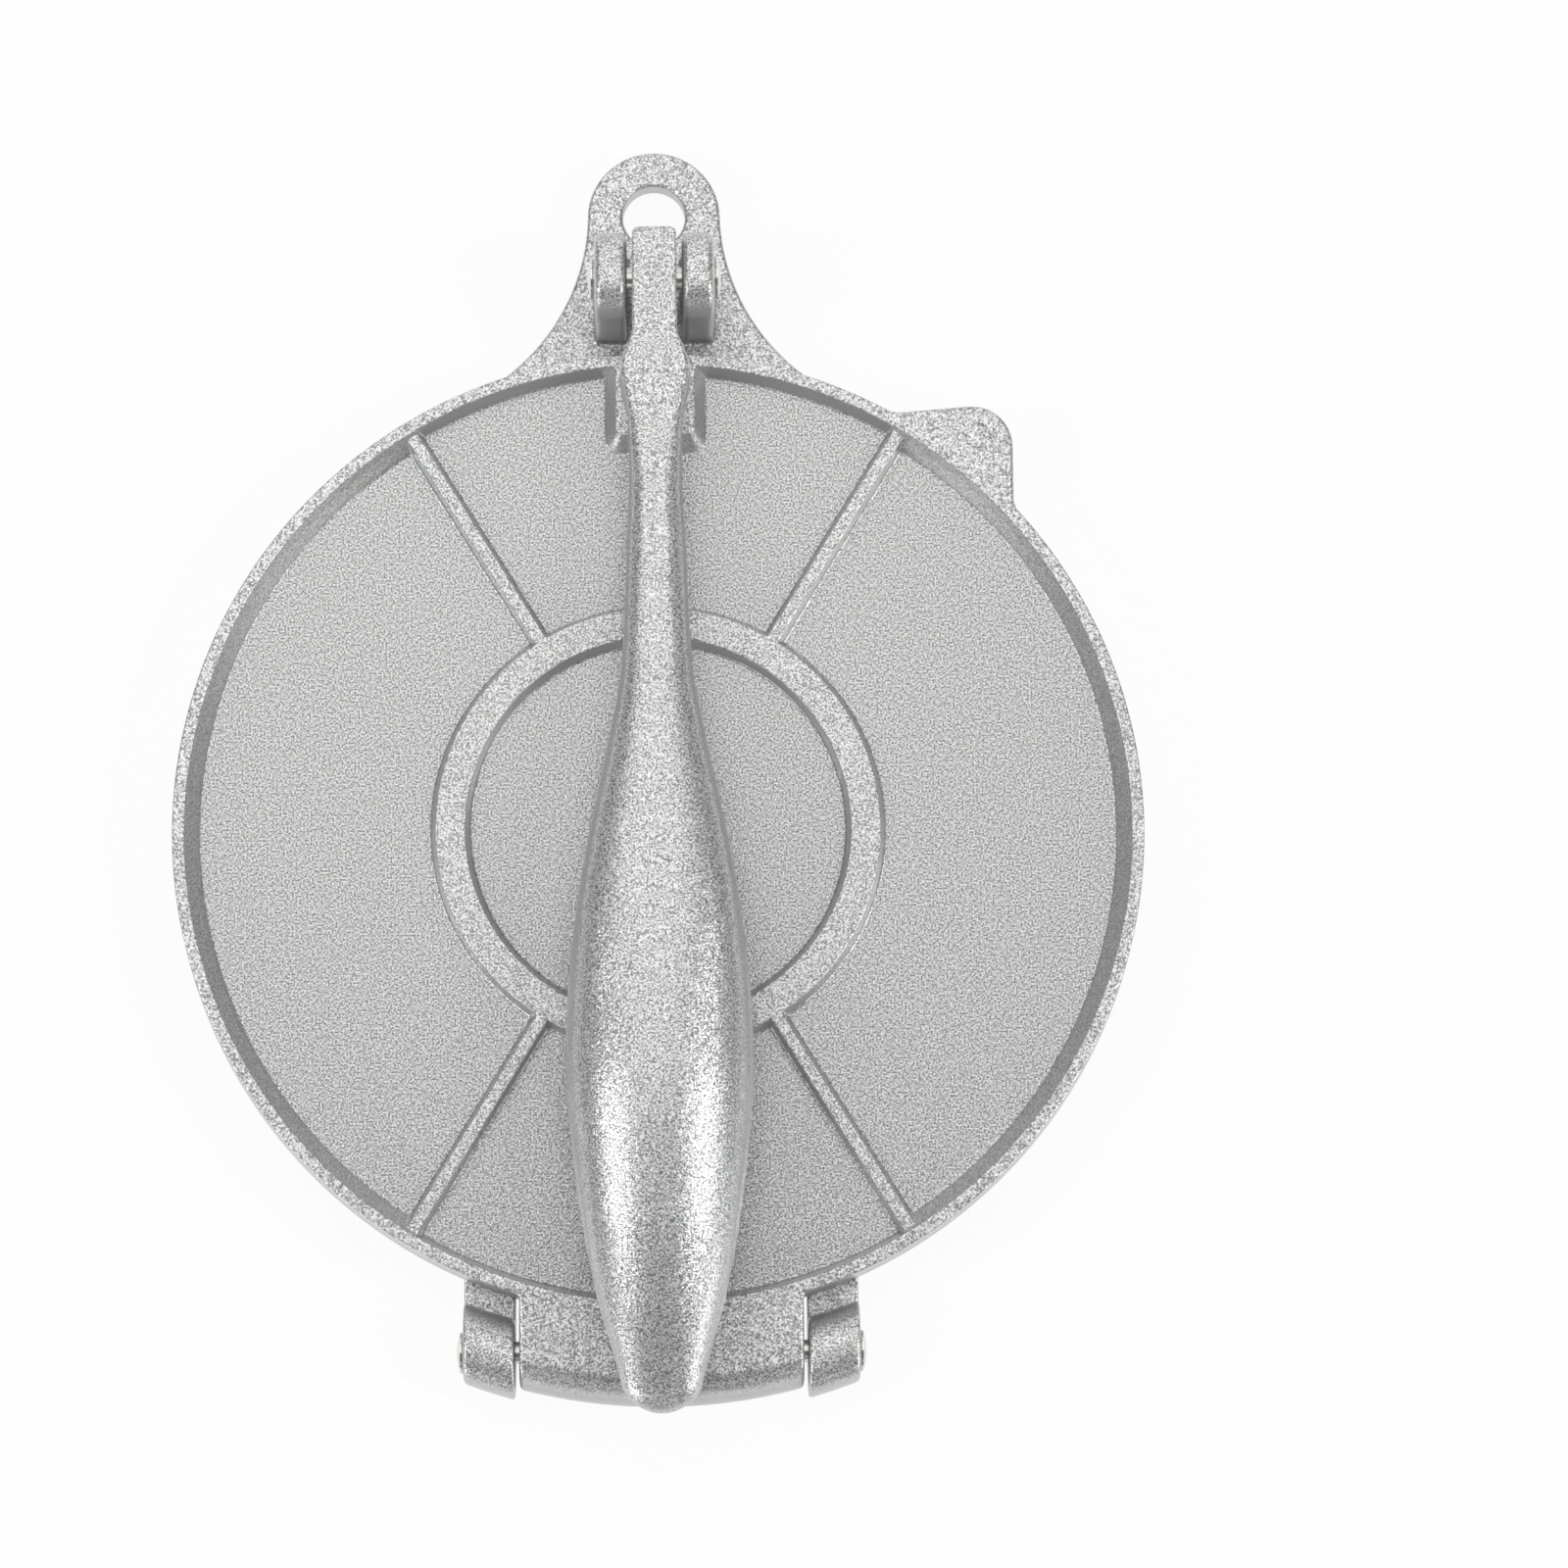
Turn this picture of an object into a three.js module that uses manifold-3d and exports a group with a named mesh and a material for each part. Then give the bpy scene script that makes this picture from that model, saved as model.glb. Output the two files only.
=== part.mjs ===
import * as THREE from 'three';
import { mergeVertices } from 'three/addons/utils/BufferGeometryUtils.js';
import Module from 'manifold-3d';

// Hand press for flattening dough: two round cast plates on a hinge, and a lever that
// presses the upper one down. Millimetres, +Z up, the table at z = 0. The hinge is
// towards -Y, the lever's pivot towards +Y, and the lever lies along the middle.
// While the pieces are made, x = y = 0 is the centre of the round plates.

// Both plates
const plateRadius = 107;        // where the plates face each other, their widest place
const wallDraft = 0.6;          // the outer walls lean in by this much
const edgeRound = 0.8;          // rounding of the castings' outer edges
const pressGap = 1;             // between the two pressing faces when closed

// Stiffening on the outer face of both plates: a rim, a round ring and four ribs
const rimWidth = 2.8;
const ringOuterRadius = 48.9;
const ringInnerRadius = 42.2;
const ribWidth = 2.8;
const ribAngle = 31.5;          // degrees from the line through hinge and pivot
const sideWallLean = 3.2;       // rim's inner wall in the two large pockets
const endWallLean = 1.6;        // rim's inner wall in the two small pockets
const ringWallLean = 0.8;
const ribWallLean = 0.6;

// Lower plate
const baseHeight = 13;
const baseWeb = 4.2;

// Upper plate
const upperHeight = 9;
const upperWeb = 4.4;
const ringStep = 1.3;           // its ring and ribs end this far below its rim
const ringStepLean = 1;         // lean of the rim's wall over the ribs' ends
const ribEndInset = 0.2;        // the rim is this much wider over the ribs' ends

// Pad on the upper plate that the lever presses on
const padWidth = 17.8;
const padReach = 19.4;          // from the rim's outer edge towards the middle
const padLean = 2.6;            // its end wall
const padSideLean = 2;
const padCorner = 2.2;

// Lift lug on the upper plate
const lugSideShare = 0.74;      // how far the lug reaches, as shares of the plates' radius
const lugEndShare = 0.872;
const lugCorner = 9;
const lugThickness = 6;

// Hinge between the plates
const hingeStandOff = 7;        // from the plates' outer wall to the pin
const hingeBlockWidth = 61.4;
const hingeBlockReach = 11.5;    // from the pin to the block's round end
const hingeBlockRound = 9;
const hingeBlockRoll = 45;      // degrees that its round end runs on below the pin
const hingeBossRadius = 6.7;
const hingeSideGap = 1.05;      // between the block and each arm
const hingeArmWidth = 11.1;
const knuckleRadius = 8.75;
const knuckleReach = 14.5;       // from the pin to the knuckles' outer ends
const armThickness = 8;
const armRoot = 5.6;            // how far each arm runs on into the plate, past its barrel

// Hanging tab behind the plates, with its eye
const tabRadius = 14.9;
const tabReach = 33.5;          // from the plates' outer wall to the centre of the eye
const tabThickness = 6;
const tabFlare = 48;            // radius of the hollow curves from the tab to the plate
const eyeRadius = 7;
const tabRibWidth = 4;
const tabRibHeight = 5;
const tabRibTip = 1.7;          // its height where it ends, past the ears

// Ears that carry the lever
const pivotStandOff = 14;       // from the plates' outer wall to the lever's pivot
const pivotHeight = 31;
const earRadius = 9.7;
const earGap = 12.2;
const earThickness = 7.1;
const earRound = 1.1;

// Pivot rods and their screws
const rodRadius = 2.5;
const rodProud = 0.3;           // each rod stands out of the castings by this much
const runningGap = 0.3;         // around the rods, and around the screws' shanks
const screwShankRadius = 1.5;
const screwShankLength = 8;
const screwHeadRadius = 4.5;
const screwHeadRim = 0.3;
const screwHeadHeight = 1.3;
const screwSocketWidth = 2.5;   // across the flats of the six-sided socket
const screwSocketDepth = 0.7;
const threadReliefDepth = 1;    // the tapped hole is this much deeper than the screw

// Lever
const leverTipReach = 20.8;     // from the plates' outer wall to the lever's tip
const leverEyeRadius = 9;
const leverEyeHeight = 11.3;    // from the pivot to the flat top over it
const leverEyeWidth = 9.2;
const leverEyeCorner = 2.2;     // rounding of the lever's upper end
const leverEyeRound = 1.2;
const gripHalfWidth = 20.2;
const gripHeight = 51.4;        // top of the grip above the table
const leverLip = 1.3;           // rounding of the lever's lower edges
const footWidth = 13.6;
const footOffset = 21;          // the foot's centre, from the pivot
const footRadius = 7.4;
const footGap = 0.3;            // between the foot and the pad
const gripWall = 3.6;
const leverTipRound = 6;
const hollowLip = 1;            // rounding at the hollow's lower edges
const screwSocketSides = 6;

// Facets
const roundFacets = 72;
const sideFacets = 16;
const smallFacets = 20;
const planFacets = 12;
const leverRings = 34;
const tipRings = 5;
const hollowRings = 12;
const edgeFacets = 2;           // across each rounded edge
const domeFacets = 4;
const rollFacets = 9;
const overrun = 2;              // how far a cutting body runs past what it cuts
const mergeDistance = 0.0001;   // corners closer than this are one corner

const wasm = await Module();
wasm.setup();

// A closed mesh as a solid. Triangles that shrank to a line at an axis are left out.
function solid(geometry) {
  geometry.deleteAttribute('normal');
  geometry.deleteAttribute('uv');
  const merged = mergeVertices(geometry, mergeDistance);
  const corners = merged.index.array;
  const kept = [];
  for (let i = 0; i < corners.length; i += 3) {
    const [a, b, c] = [corners[i], corners[i + 1], corners[i + 2]];
    if (a !== b && b !== c && c !== a) kept.push(a, b, c);
  }
  return new wasm.Manifold(new wasm.Mesh({
    numProp: 3,
    vertProperties: Float32Array.from(merged.attributes.position.array),
    triVerts: Uint32Array.from(kept),
  }));
}

function unite(first, ...others) {
  return others.reduce((sum, other) => sum.add(other), first);
}

function geometryOf(body) {
  const { vertProperties, triVerts } = body.getMesh();
  const geometry = new THREE.BufferGeometry();
  geometry.setAttribute('position', new THREE.BufferAttribute(new Float32Array(vertProperties), 3));
  geometry.setIndex(new THREE.BufferAttribute(new Uint32Array(triVerts), 1));
  geometry.computeVertexNormals();
  return geometry;
}

// Points on an arc, its two ends included.
function arc(x, y, radius, from, to, steps) {
  return Array.from({ length: steps + 1 }, (_, i) => {
    const angle = from + ((to - from) * i) / steps;
    return new THREE.Vector2(x + radius * Math.cos(angle), y + radius * Math.sin(angle));
  });
}

// A profile of radius and height, turned about the plates' axis.
function turned(profile, facets = roundFacets) {
  return solid(new THREE.LatheGeometry(profile, facets).rotateX(Math.PI / 2));
}

// A closed body between two outlines with the same number of points.
function drafted(low, high, zLow, zHigh) {
  const count = low.length;
  const places = [];
  for (const point of low) places.push(point.x, point.y, zLow);
  for (const point of high) places.push(point.x, point.y, zHigh);
  const corners = [];
  for (const [a, b, c] of THREE.ShapeUtils.triangulateShape(low, [])) corners.push(a, c, b);
  for (const [a, b, c] of THREE.ShapeUtils.triangulateShape(high, [])) {
    corners.push(count + a, count + b, count + c);
  }
  for (let i = 0; i < count; i += 1) {
    const next = (i + 1) % count;
    corners.push(i, next, count + next, i, count + next, count + i);
  }
  const geometry = new THREE.BufferGeometry();
  geometry.setAttribute('position', new THREE.Float32BufferAttribute(places, 3));
  geometry.setIndex(corners);
  return solid(geometry);
}

// An outline in plan, made into a plate whose edges are rounded.
function plate(shape, zLow, zHigh, round = edgeRound) {
  const geometry = new THREE.ExtrudeGeometry(shape, {
    depth: zHigh - zLow - 2 * round,
    curveSegments: planFacets,
    bevelThickness: round,
    bevelSize: round,
    bevelOffset: -round,
    bevelSegments: edgeFacets,
  });
  return solid(geometry.translate(0, 0, zLow + round));
}

// An outline seen from the side, as y and z, made into a cheek between two places in x.
const sideways = new THREE.Matrix4().makeBasis(
  new THREE.Vector3(0, 1, 0),
  new THREE.Vector3(0, 0, 1),
  new THREE.Vector3(1, 0, 0),
);

function cheek(shape, xLow, xHigh, round, facets = sideFacets) {
  const geometry = new THREE.ExtrudeGeometry(shape, {
    depth: xHigh - xLow - 2 * round,
    curveSegments: facets,
    bevelThickness: round,
    bevelSize: round,
    bevelOffset: -round,
    bevelSegments: edgeFacets,
  });
  return solid(geometry.translate(0, 0, xLow + round).applyMatrix4(sideways));
}

function box(xLow, xHigh, yLow, yHigh, zLow, zHigh) {
  const geometry = new THREE.BoxGeometry(xHigh - xLow, yHigh - yLow, zHigh - zLow);
  return solid(geometry.translate((xLow + xHigh) / 2, (yLow + yHigh) / 2, (zLow + zHigh) / 2));
}

// A round bar along X.
function bar(radius, xLow, xHigh, y, z) {
  const geometry = new THREE.CylinderGeometry(radius, radius, xHigh - xLow, smallFacets);
  return solid(geometry.rotateZ(Math.PI / 2).translate((xLow + xHigh) / 2, y, z));
}

// Places that follow from the sizes above
const hingeOffset = plateRadius + hingeStandOff;
const blockEnd = hingeOffset + hingeBlockReach;
const knuckleEnd = hingeOffset + knuckleReach;
const pivotOffset = plateRadius + pivotStandOff;
const tabOffset = plateRadius + tabReach;
const leverLength = pivotOffset + plateRadius + leverTipReach;
const lugSide = plateRadius * lugSideShare;
const lugEnd = plateRadius * lugEndShare;
const upperFace = baseHeight + pressGap;
const upperTop = upperFace + upperHeight;
const hingeHeight = upperFace;
const tabBottom = baseHeight - tabThickness;
const blockHalf = hingeBlockWidth / 2;
const armInner = blockHalf + hingeSideGap;
const armOuter = armInner + hingeArmWidth;
const earInner = earGap / 2;
const earOuter = earInner + earThickness;
const holeRadius = rodRadius + runningGap;

// Pockets between the rim, the ring and the ribs, as cutting bodies that open upwards.
// The walls lean, so each pocket is narrower at its floor. Where the ring and the ribs end
// below the rim, all that lies inside the rim is cut down by that step.
function pockets(floor, top, step) {
  const depth = top - floor;
  const past = 1 + overrun / depth;
  const rimInner = plateRadius - wallDraft - rimWidth;
  const ribTurn = THREE.MathUtils.degToRad(ribAngle);

  function outline(rise, middle, halfSpan, lean) {
    const outer = rimInner - lean * (1 - rise);
    const inner = ringOuterRadius + ringWallLean * (1 - rise);
    const side = ribWidth / 2 + ribWallLean * (1 - rise);
    const outerSpan = halfSpan - Math.asin(side / outer);
    const innerSpan = halfSpan - Math.asin(side / inner);
    const outerSteps = Math.ceil((halfSpan / Math.PI) * roundFacets);
    const innerSteps = Math.ceil(outerSteps / 2);
    return [
      ...arc(0, 0, outer, middle - outerSpan, middle + outerSpan, outerSteps),
      ...arc(0, 0, inner, middle + innerSpan, middle - innerSpan, innerSteps),
    ];
  }

  const sectors = [
    [0, Math.PI / 2 - ribTurn, sideWallLean],
    [Math.PI / 2, ribTurn, endWallLean],
    [Math.PI, Math.PI / 2 - ribTurn, sideWallLean],
    [-Math.PI / 2, ribTurn, endWallLean],
  ].map(([middle, halfSpan, lean]) => drafted(
    outline(0, middle, halfSpan, lean),
    outline(past, middle, halfSpan, lean),
    floor,
    top + overrun,
  ));
  const centre = turned([
    new THREE.Vector2(0, floor),
    new THREE.Vector2(ringInnerRadius - ringWallLean, floor),
    new THREE.Vector2(ringInnerRadius - ringWallLean + ringWallLean * past, top + overrun),
    new THREE.Vector2(0, top + overrun),
  ], roundFacets / 2);
  const tools = [centre, ...sectors];
  if (step > 0) {
    tools.push(turned([
      new THREE.Vector2(0, top - step),
      new THREE.Vector2(rimInner - ringStepLean, top - step),
      new THREE.Vector2(rimInner - ribEndInset, top + overrun),
      new THREE.Vector2(0, top + overrun),
    ]));
  }
  return unite(...tools);
}

// Lower plate: the pressing face is on top, the rim, ring and ribs are underneath.
function basePlate() {
  const disc = turned([
    new THREE.Vector2(0, 0),
    ...arc(plateRadius - wallDraft - edgeRound, edgeRound, edgeRound, -Math.PI / 2, 0, edgeFacets),
    ...arc(
      plateRadius - edgeRound / 2,
      baseHeight - edgeRound / 2,
      edgeRound / 2,
      0,
      Math.PI / 2,
      edgeFacets,
    ),
    new THREE.Vector2(0, baseHeight),
  ]);
  const mirrored = pockets(baseWeb, baseHeight, 0).scale([1, 1, -1]).translate([0, 0, baseHeight]);

  // Hanging tab: its round end runs into the plate in two hollow curves.
  const reachToPlate = plateRadius + tabFlare;
  const reachToTab = tabRadius + tabFlare;
  const flareY = (reachToPlate ** 2 - reachToTab ** 2 + tabOffset ** 2) / (2 * tabOffset);
  const flareX = Math.sqrt(reachToPlate ** 2 - flareY ** 2);
  const fromPlate = Math.atan2(flareY, flareX);
  const fromTab = Math.atan2(flareY - tabOffset, flareX);
  const inside = plateRadius - rimWidth;
  const tabShape = new THREE.Shape();
  tabShape.moveTo(inside * Math.cos(fromPlate), inside * Math.sin(fromPlate));
  tabShape.absarc(flareX, flareY, tabFlare, fromPlate - Math.PI, fromTab - Math.PI, true);
  tabShape.absarc(0, tabOffset, tabRadius, fromTab, Math.PI - fromTab, false);
  tabShape.absarc(-flareX, flareY, tabFlare, -fromTab, -fromPlate, true);
  tabShape.absarc(0, 0, inside, Math.PI - fromPlate, fromPlate, true);
  const eye = new THREE.Path();
  eye.absarc(0, tabOffset, eyeRadius, 0, 2 * Math.PI, true);
  tabShape.holes.push(eye);
  const tab = plate(tabShape, tabBottom, baseHeight);

  // Ears for the lever, each on a rib under the tab
  const ears = [];
  for (const side of [-1, 1]) {
    const [xLow, xHigh] = side < 0 ? [-earOuter, -earInner] : [earInner, earOuter];
    const earShape = new THREE.Shape();
    earShape.moveTo(pivotOffset - earRadius, baseHeight - tabThickness / 2);
    earShape.lineTo(pivotOffset + earRadius, baseHeight - tabThickness / 2);
    earShape.absarc(pivotOffset, pivotHeight, earRadius, 0, Math.PI, false);
    ears.push(cheek(earShape, xLow, xHigh, earRound));
    const middle = (xLow + xHigh) / 2;
    const ribShape = new THREE.Shape();
    ribShape.moveTo(plateRadius - rimWidth, tabBottom - tabRibHeight);
    ribShape.lineTo(plateRadius, tabBottom - tabRibHeight);
    ribShape.lineTo(pivotOffset + earRadius, tabBottom - tabRibTip);
    ribShape.lineTo(pivotOffset + earRadius, baseHeight - tabThickness / 2);
    ribShape.lineTo(plateRadius - rimWidth, baseHeight - tabThickness / 2);
    ears.push(cheek(ribShape, middle - tabRibWidth / 2, middle + tabRibWidth / 2, edgeRound / 2));
  }

  // Hinge arms: a low neck and a barrel that follows the plate's curve
  const barrels = solid(new THREE.TorusGeometry(
    knuckleEnd - knuckleRadius,
    knuckleRadius,
    sideFacets,
    2 * roundFacets,
  ).translate(0, 0, hingeHeight));
  const arms = [];
  for (const side of [-1, 1]) {
    const [xLow, xHigh] = side < 0 ? [-armOuter, -armInner] : [armInner, armOuter];
    arms.push(barrels.intersect(box(xLow, xHigh, -knuckleEnd - overrun, 0, 0, upperTop + overrun)));
    arms.push(box(
      xLow,
      xHigh,
      -hingeOffset - rodRadius,
      -hingeOffset + knuckleRadius + armRoot,
      baseHeight - armThickness,
      baseHeight,
    ));
  }

  const body = unite(disc.subtract(mirrored), tab, ...ears, ...arms);
  return body
    .subtract(bar(holeRadius, -armOuter - overrun, armOuter + overrun, -hingeOffset, hingeHeight))
    .subtract(bar(holeRadius, -earOuter - overrun, earOuter + overrun, pivotOffset, pivotHeight));
}

// Upper plate: the pressing face is underneath.
function upperPlate() {
  const disc = turned([
    new THREE.Vector2(0, upperFace),
    ...arc(
      plateRadius - edgeRound / 2,
      upperFace + edgeRound / 2,
      edgeRound / 2,
      -Math.PI / 2,
      0,
      edgeFacets,
    ),
    ...arc(
      plateRadius - wallDraft - edgeRound,
      upperTop - edgeRound,
      edgeRound,
      0,
      Math.PI / 2,
      edgeFacets + 1,
    ),
    new THREE.Vector2(0, upperTop),
  ]);

  function padOutline(rise) {
    const half = padWidth / 2 + padSideLean * (1 - rise);
    const end = plateRadius - padReach - padLean * (1 - rise);
    return [
      new THREE.Vector2(half, plateRadius),
      new THREE.Vector2(-half, plateRadius),
      new THREE.Vector2(-half, end + padCorner),
      new THREE.Vector2(-half + padCorner, end),
      new THREE.Vector2(half - padCorner, end),
      new THREE.Vector2(half, end + padCorner),
    ];
  }
  const floor = upperFace + upperWeb;
  const depth = upperTop - floor;
  const pad = drafted(
    padOutline(-overrun / depth),
    padOutline(1 + (2 * overrun) / depth),
    floor - overrun,
    upperTop + 2 * overrun,
  );

  const lugShape = new THREE.Shape();
  lugShape.moveTo(lugSide, lugEnd / 2);
  lugShape.lineTo(lugSide, lugEnd - lugCorner);
  lugShape.absarc(lugSide - lugCorner, lugEnd - lugCorner, lugCorner, 0, Math.PI / 2, false);
  lugShape.lineTo(lugSide / 2, lugEnd);
  lugShape.lineTo(lugSide / 2, lugEnd / 2);
  const lug = plate(lugShape, upperTop - lugThickness, upperTop);

  // Hinge block: its end follows the plate's curve and rolls down; a boss holds the rod.
  const roundCentre = blockEnd - hingeBlockRound;
  const roll = THREE.MathUtils.degToRad(hingeBlockRoll);
  const swept = turned([
    new THREE.Vector2(plateRadius - rimWidth, upperFace),
    new THREE.Vector2(roundCentre, upperFace),
    new THREE.Vector2(roundCentre, hingeHeight - hingeBossRadius),
    ...arc(roundCentre, hingeHeight, hingeBlockRound, -roll, Math.PI / 2, rollFacets),
    new THREE.Vector2(plateRadius - rimWidth, upperTop),
    new THREE.Vector2(plateRadius - rimWidth, upperFace),
  ], 2 * roundFacets);
  const block = swept.intersect(
    box(-blockHalf, blockHalf, -blockEnd - overrun, 0, 0, upperTop + overrun),
  );
  const boss = bar(hingeBossRadius, -blockHalf, blockHalf, -hingeOffset, hingeHeight);

  return unite(disc, lug)
    .subtract(pockets(floor, upperTop, ringStep).subtract(pad))
    .add(block)
    .add(boss)
    .subtract(bar(holeRadius, -blockHalf - overrun, blockHalf + overrun, -hingeOffset, hingeHeight));
}

// The lever's outlines as shares. Places along it are shares of its length, half widths are
// shares of the grip's, and heights are shares of the grip's height above the pivot.
const planShares = [
  [0, 0.226], [0.056, 0.23], [0.068, 0.285], [0.082, 0.36], [0.091, 0.38], [0.108, 0.345],
  [0.134, 0.292],
  [0.18, 0.285], [0.25, 0.32], [0.35, 0.375], [0.417, 0.52], [0.516, 0.772], [0.58, 0.896],
  [0.645, 0.973], [0.706, 1], [0.78, 0.925], [0.848, 0.812], [0.905, 0.668], [0.955, 0.49],
  [1, 0.35],
];
const topShares = [
  [0, 0.554], [0.05, 0.53], [0.1, 0.51], [0.18, 0.53], [0.32, 0.65], [0.48, 0.83], [0.643, 0.975],
  [0.715, 1], [0.824, 0.91], [0.904, 0.765], [0.965, 0.58], [1, 0.44],
];
const bottomShares = [
  [0, -0.2], [0.08, -0.15], [0.145, 0.02], [0.18, 0.08], [0.4, 0.22], [0.6, 0.32], [0.8, 0.32],
  [1, 0.24],
];
// How rounded the lever is across: 0 is a box, 1 an oval
const squareShares = [[0, 0.25], [0.15, 0.3], [0.35, 0.42], [0.7, 0.8], [1, 0.9]];
const hollowShares = [0.37, 0.95];      // from where to where the grip is hollow underneath
const tipHeightShare = 0.333;           // where the tip's outermost point lies, from low to high
const tipEndShare = 0.95;               // of the quarter turn that the tip's rounding makes

// A smooth curve through the points of a table of shares.
function smooth(table) {
  const slopes = table.map(([place, value], i) => {
    const [beforePlace, beforeValue] = table[Math.max(i - 1, 0)];
    const [afterPlace, afterValue] = table[Math.min(i + 1, table.length - 1)];
    const before = place > beforePlace ? (value - beforeValue) / (place - beforePlace) : null;
    const after = afterPlace > place ? (afterValue - value) / (afterPlace - place) : null;
    if (before === null || after === null) return before ?? after;
    return before * after > 0 ? (2 * before * after) / (before + after) : 0;
  });
  return (share) => {
    let i = 0;
    while (i < table.length - 2 && share > table[i + 1][0]) i += 1;
    const [x0, y0] = table[i];
    const [x1, y1] = table[i + 1];
    const width = x1 - x0;
    const t = (share - x0) / width;
    return y0 * (1 + 2 * t) * (1 - t) ** 2 + slopes[i] * width * t * (1 - t) ** 2
      + y1 * t * t * (3 - 2 * t) + slopes[i + 1] * width * t * t * (t - 1);
  };
}

// A closed body through rings of points that all have the same number of points.
function loft(rings) {
  const count = rings[0].length;
  const places = rings.flat().flatMap((point) => [point.x, point.y, point.z]);
  const corners = [];
  const flat = (ring) => ring.map((point) => new THREE.Vector2(point.x, point.z));
  const last = (rings.length - 1) * count;
  for (const [a, b, c] of THREE.ShapeUtils.triangulateShape(flat(rings[0]), [])) corners.push(a, c, b);
  for (const [a, b, c] of THREE.ShapeUtils.triangulateShape(flat(rings.at(-1)), [])) {
    corners.push(last + a, last + b, last + c);
  }
  for (let ring = 0; ring < last; ring += count) {
    for (let i = 0; i < count; i += 1) {
      const next = (i + 1) % count;
      const above = ring + count;
      corners.push(ring + i, ring + next, above + next, ring + i, above + next, above + i);
    }
  }
  const geometry = new THREE.BufferGeometry();
  geometry.setAttribute('position', new THREE.Float32BufferAttribute(places, 3));
  geometry.setIndex(corners);
  return solid(geometry);
}

// One ring across the lever: flat underneath, rounded lower edges, a crowned top.
function leverRing(along, halfWidth, low, high, lip, squareness) {
  const crown = Array.from({ length: sideFacets + 1 }, (_, i) => {
    const angle = (Math.PI * i) / sideFacets;
    const across = Math.sign(Math.cos(angle)) * Math.abs(Math.cos(angle)) ** squareness;
    const up = Math.sin(angle) ** squareness;
    return new THREE.Vector3(halfWidth * across, -along, low + lip + (high - low - lip) * up);
  });
  return [
    new THREE.Vector3(-halfWidth + lip, -along, low),
    new THREE.Vector3(halfWidth - lip, -along, low),
    ...crown,
  ];
}

// The lever, with its pivot at x = y = z = 0 and its grip towards -Y.
function leverCasting() {
  const rise = gripHeight - pivotHeight;
  const plan = smooth(planShares);
  const top = smooth(topShares);
  const bottom = smooth(bottomShares);
  const square = smooth(squareShares);

  const tipStart = 1 - leverTipRound / leverLength;
  const shares = [];
  for (let i = 0; i < leverRings; i += 1) shares.push((tipStart * i) / leverRings);
  for (let i = 0; i <= tipRings; i += 1) {
    shares.push(tipStart + (1 - tipStart) * Math.sin((tipEndShare * Math.PI * i) / (2 * tipRings)));
  }
  const beam = loft(shares.map((share) => {
    const past = Math.max(0, (share - tipStart) / (1 - tipStart));
    const fade = Math.sqrt(1 - past * past);
    const middle = rise * (bottom(share) + (top(share) - bottom(share)) * tipHeightShare);
    return leverRing(
      share * leverLength,
      gripHalfWidth * plan(share) * fade,
      middle + (rise * bottom(share) - middle) * fade,
      middle + (rise * top(share) - middle) * fade,
      leverLip * fade,
      square(share),
    );
  }));

  const [hollowFrom, hollowTo] = hollowShares;
  const hollow = loft(Array.from({ length: hollowRings + 1 }, (_, i) => {
    const share = hollowFrom + ((hollowTo - hollowFrom) * i) / hollowRings;
    const swell = 1 - Math.abs((2 * i) / hollowRings - 1) ** 3;
    const low = rise * bottom(share) - overrun;
    const roof = (rise * (top(share) - bottom(share)) - gripWall) * swell;
    const halfWidth = gripHalfWidth * plan(share) - gripWall;
    const high = low + overrun + Math.max(roof, 0);
    return leverRing(share * leverLength, halfWidth, low, high, hollowLip, square(share));
  }));

  // The eye is round underneath, and its flat top runs on to the lever's end.
  const eyeShape = new THREE.Shape();
  eyeShape.moveTo(-leverEyeRadius, leverEyeHeight);
  eyeShape.lineTo(-leverEyeRadius, 0);
  eyeShape.absarc(0, 0, leverEyeRadius, Math.PI, 2 * Math.PI, false);
  eyeShape.lineTo(leverEyeRadius, leverEyeHeight - leverEyeCorner);
  eyeShape.absarc(
    leverEyeRadius - leverEyeCorner,
    leverEyeHeight - leverEyeCorner,
    leverEyeCorner,
    0,
    Math.PI / 2,
    false,
  );
  const eye = cheek(
    eyeShape,
    -leverEyeWidth / 2,
    leverEyeWidth / 2,
    leverEyeRound,
    planFacets,
  );

  // The foot that presses on the upper plate's pad
  const padTop = upperTop - pivotHeight;
  const footShape = new THREE.Shape();
  footShape.absarc(-footOffset, padTop + footGap + footRadius, footRadius, Math.PI, 2 * Math.PI, false);
  footShape.lineTo(-footOffset + footRadius, rise * top(footOffset / leverLength) / 2);
  footShape.lineTo(-footOffset - footRadius, rise * top(footOffset / leverLength) / 2);
  const foot = cheek(footShape, -footWidth / 2, footWidth / 2, leverEyeRound);

  return unite(beam, eye, foot)
    .subtract(hollow)
    .subtract(bar(holeRadius, -leverEyeWidth, leverEyeWidth, 0, 0));
}

// A plain rod along X, tapped at both ends for its screws.
function pivotRod(halfLength) {
  const tapped = screwShankLength + threadReliefDepth;
  const tapRadius = screwShankRadius + runningGap;
  return bar(rodRadius, -halfLength, halfLength, 0, 0)
    .subtract(bar(tapRadius, -halfLength - overrun, -halfLength + tapped, 0, 0))
    .subtract(bar(tapRadius, halfLength - tapped, halfLength + overrun, 0, 0));
}

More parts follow.
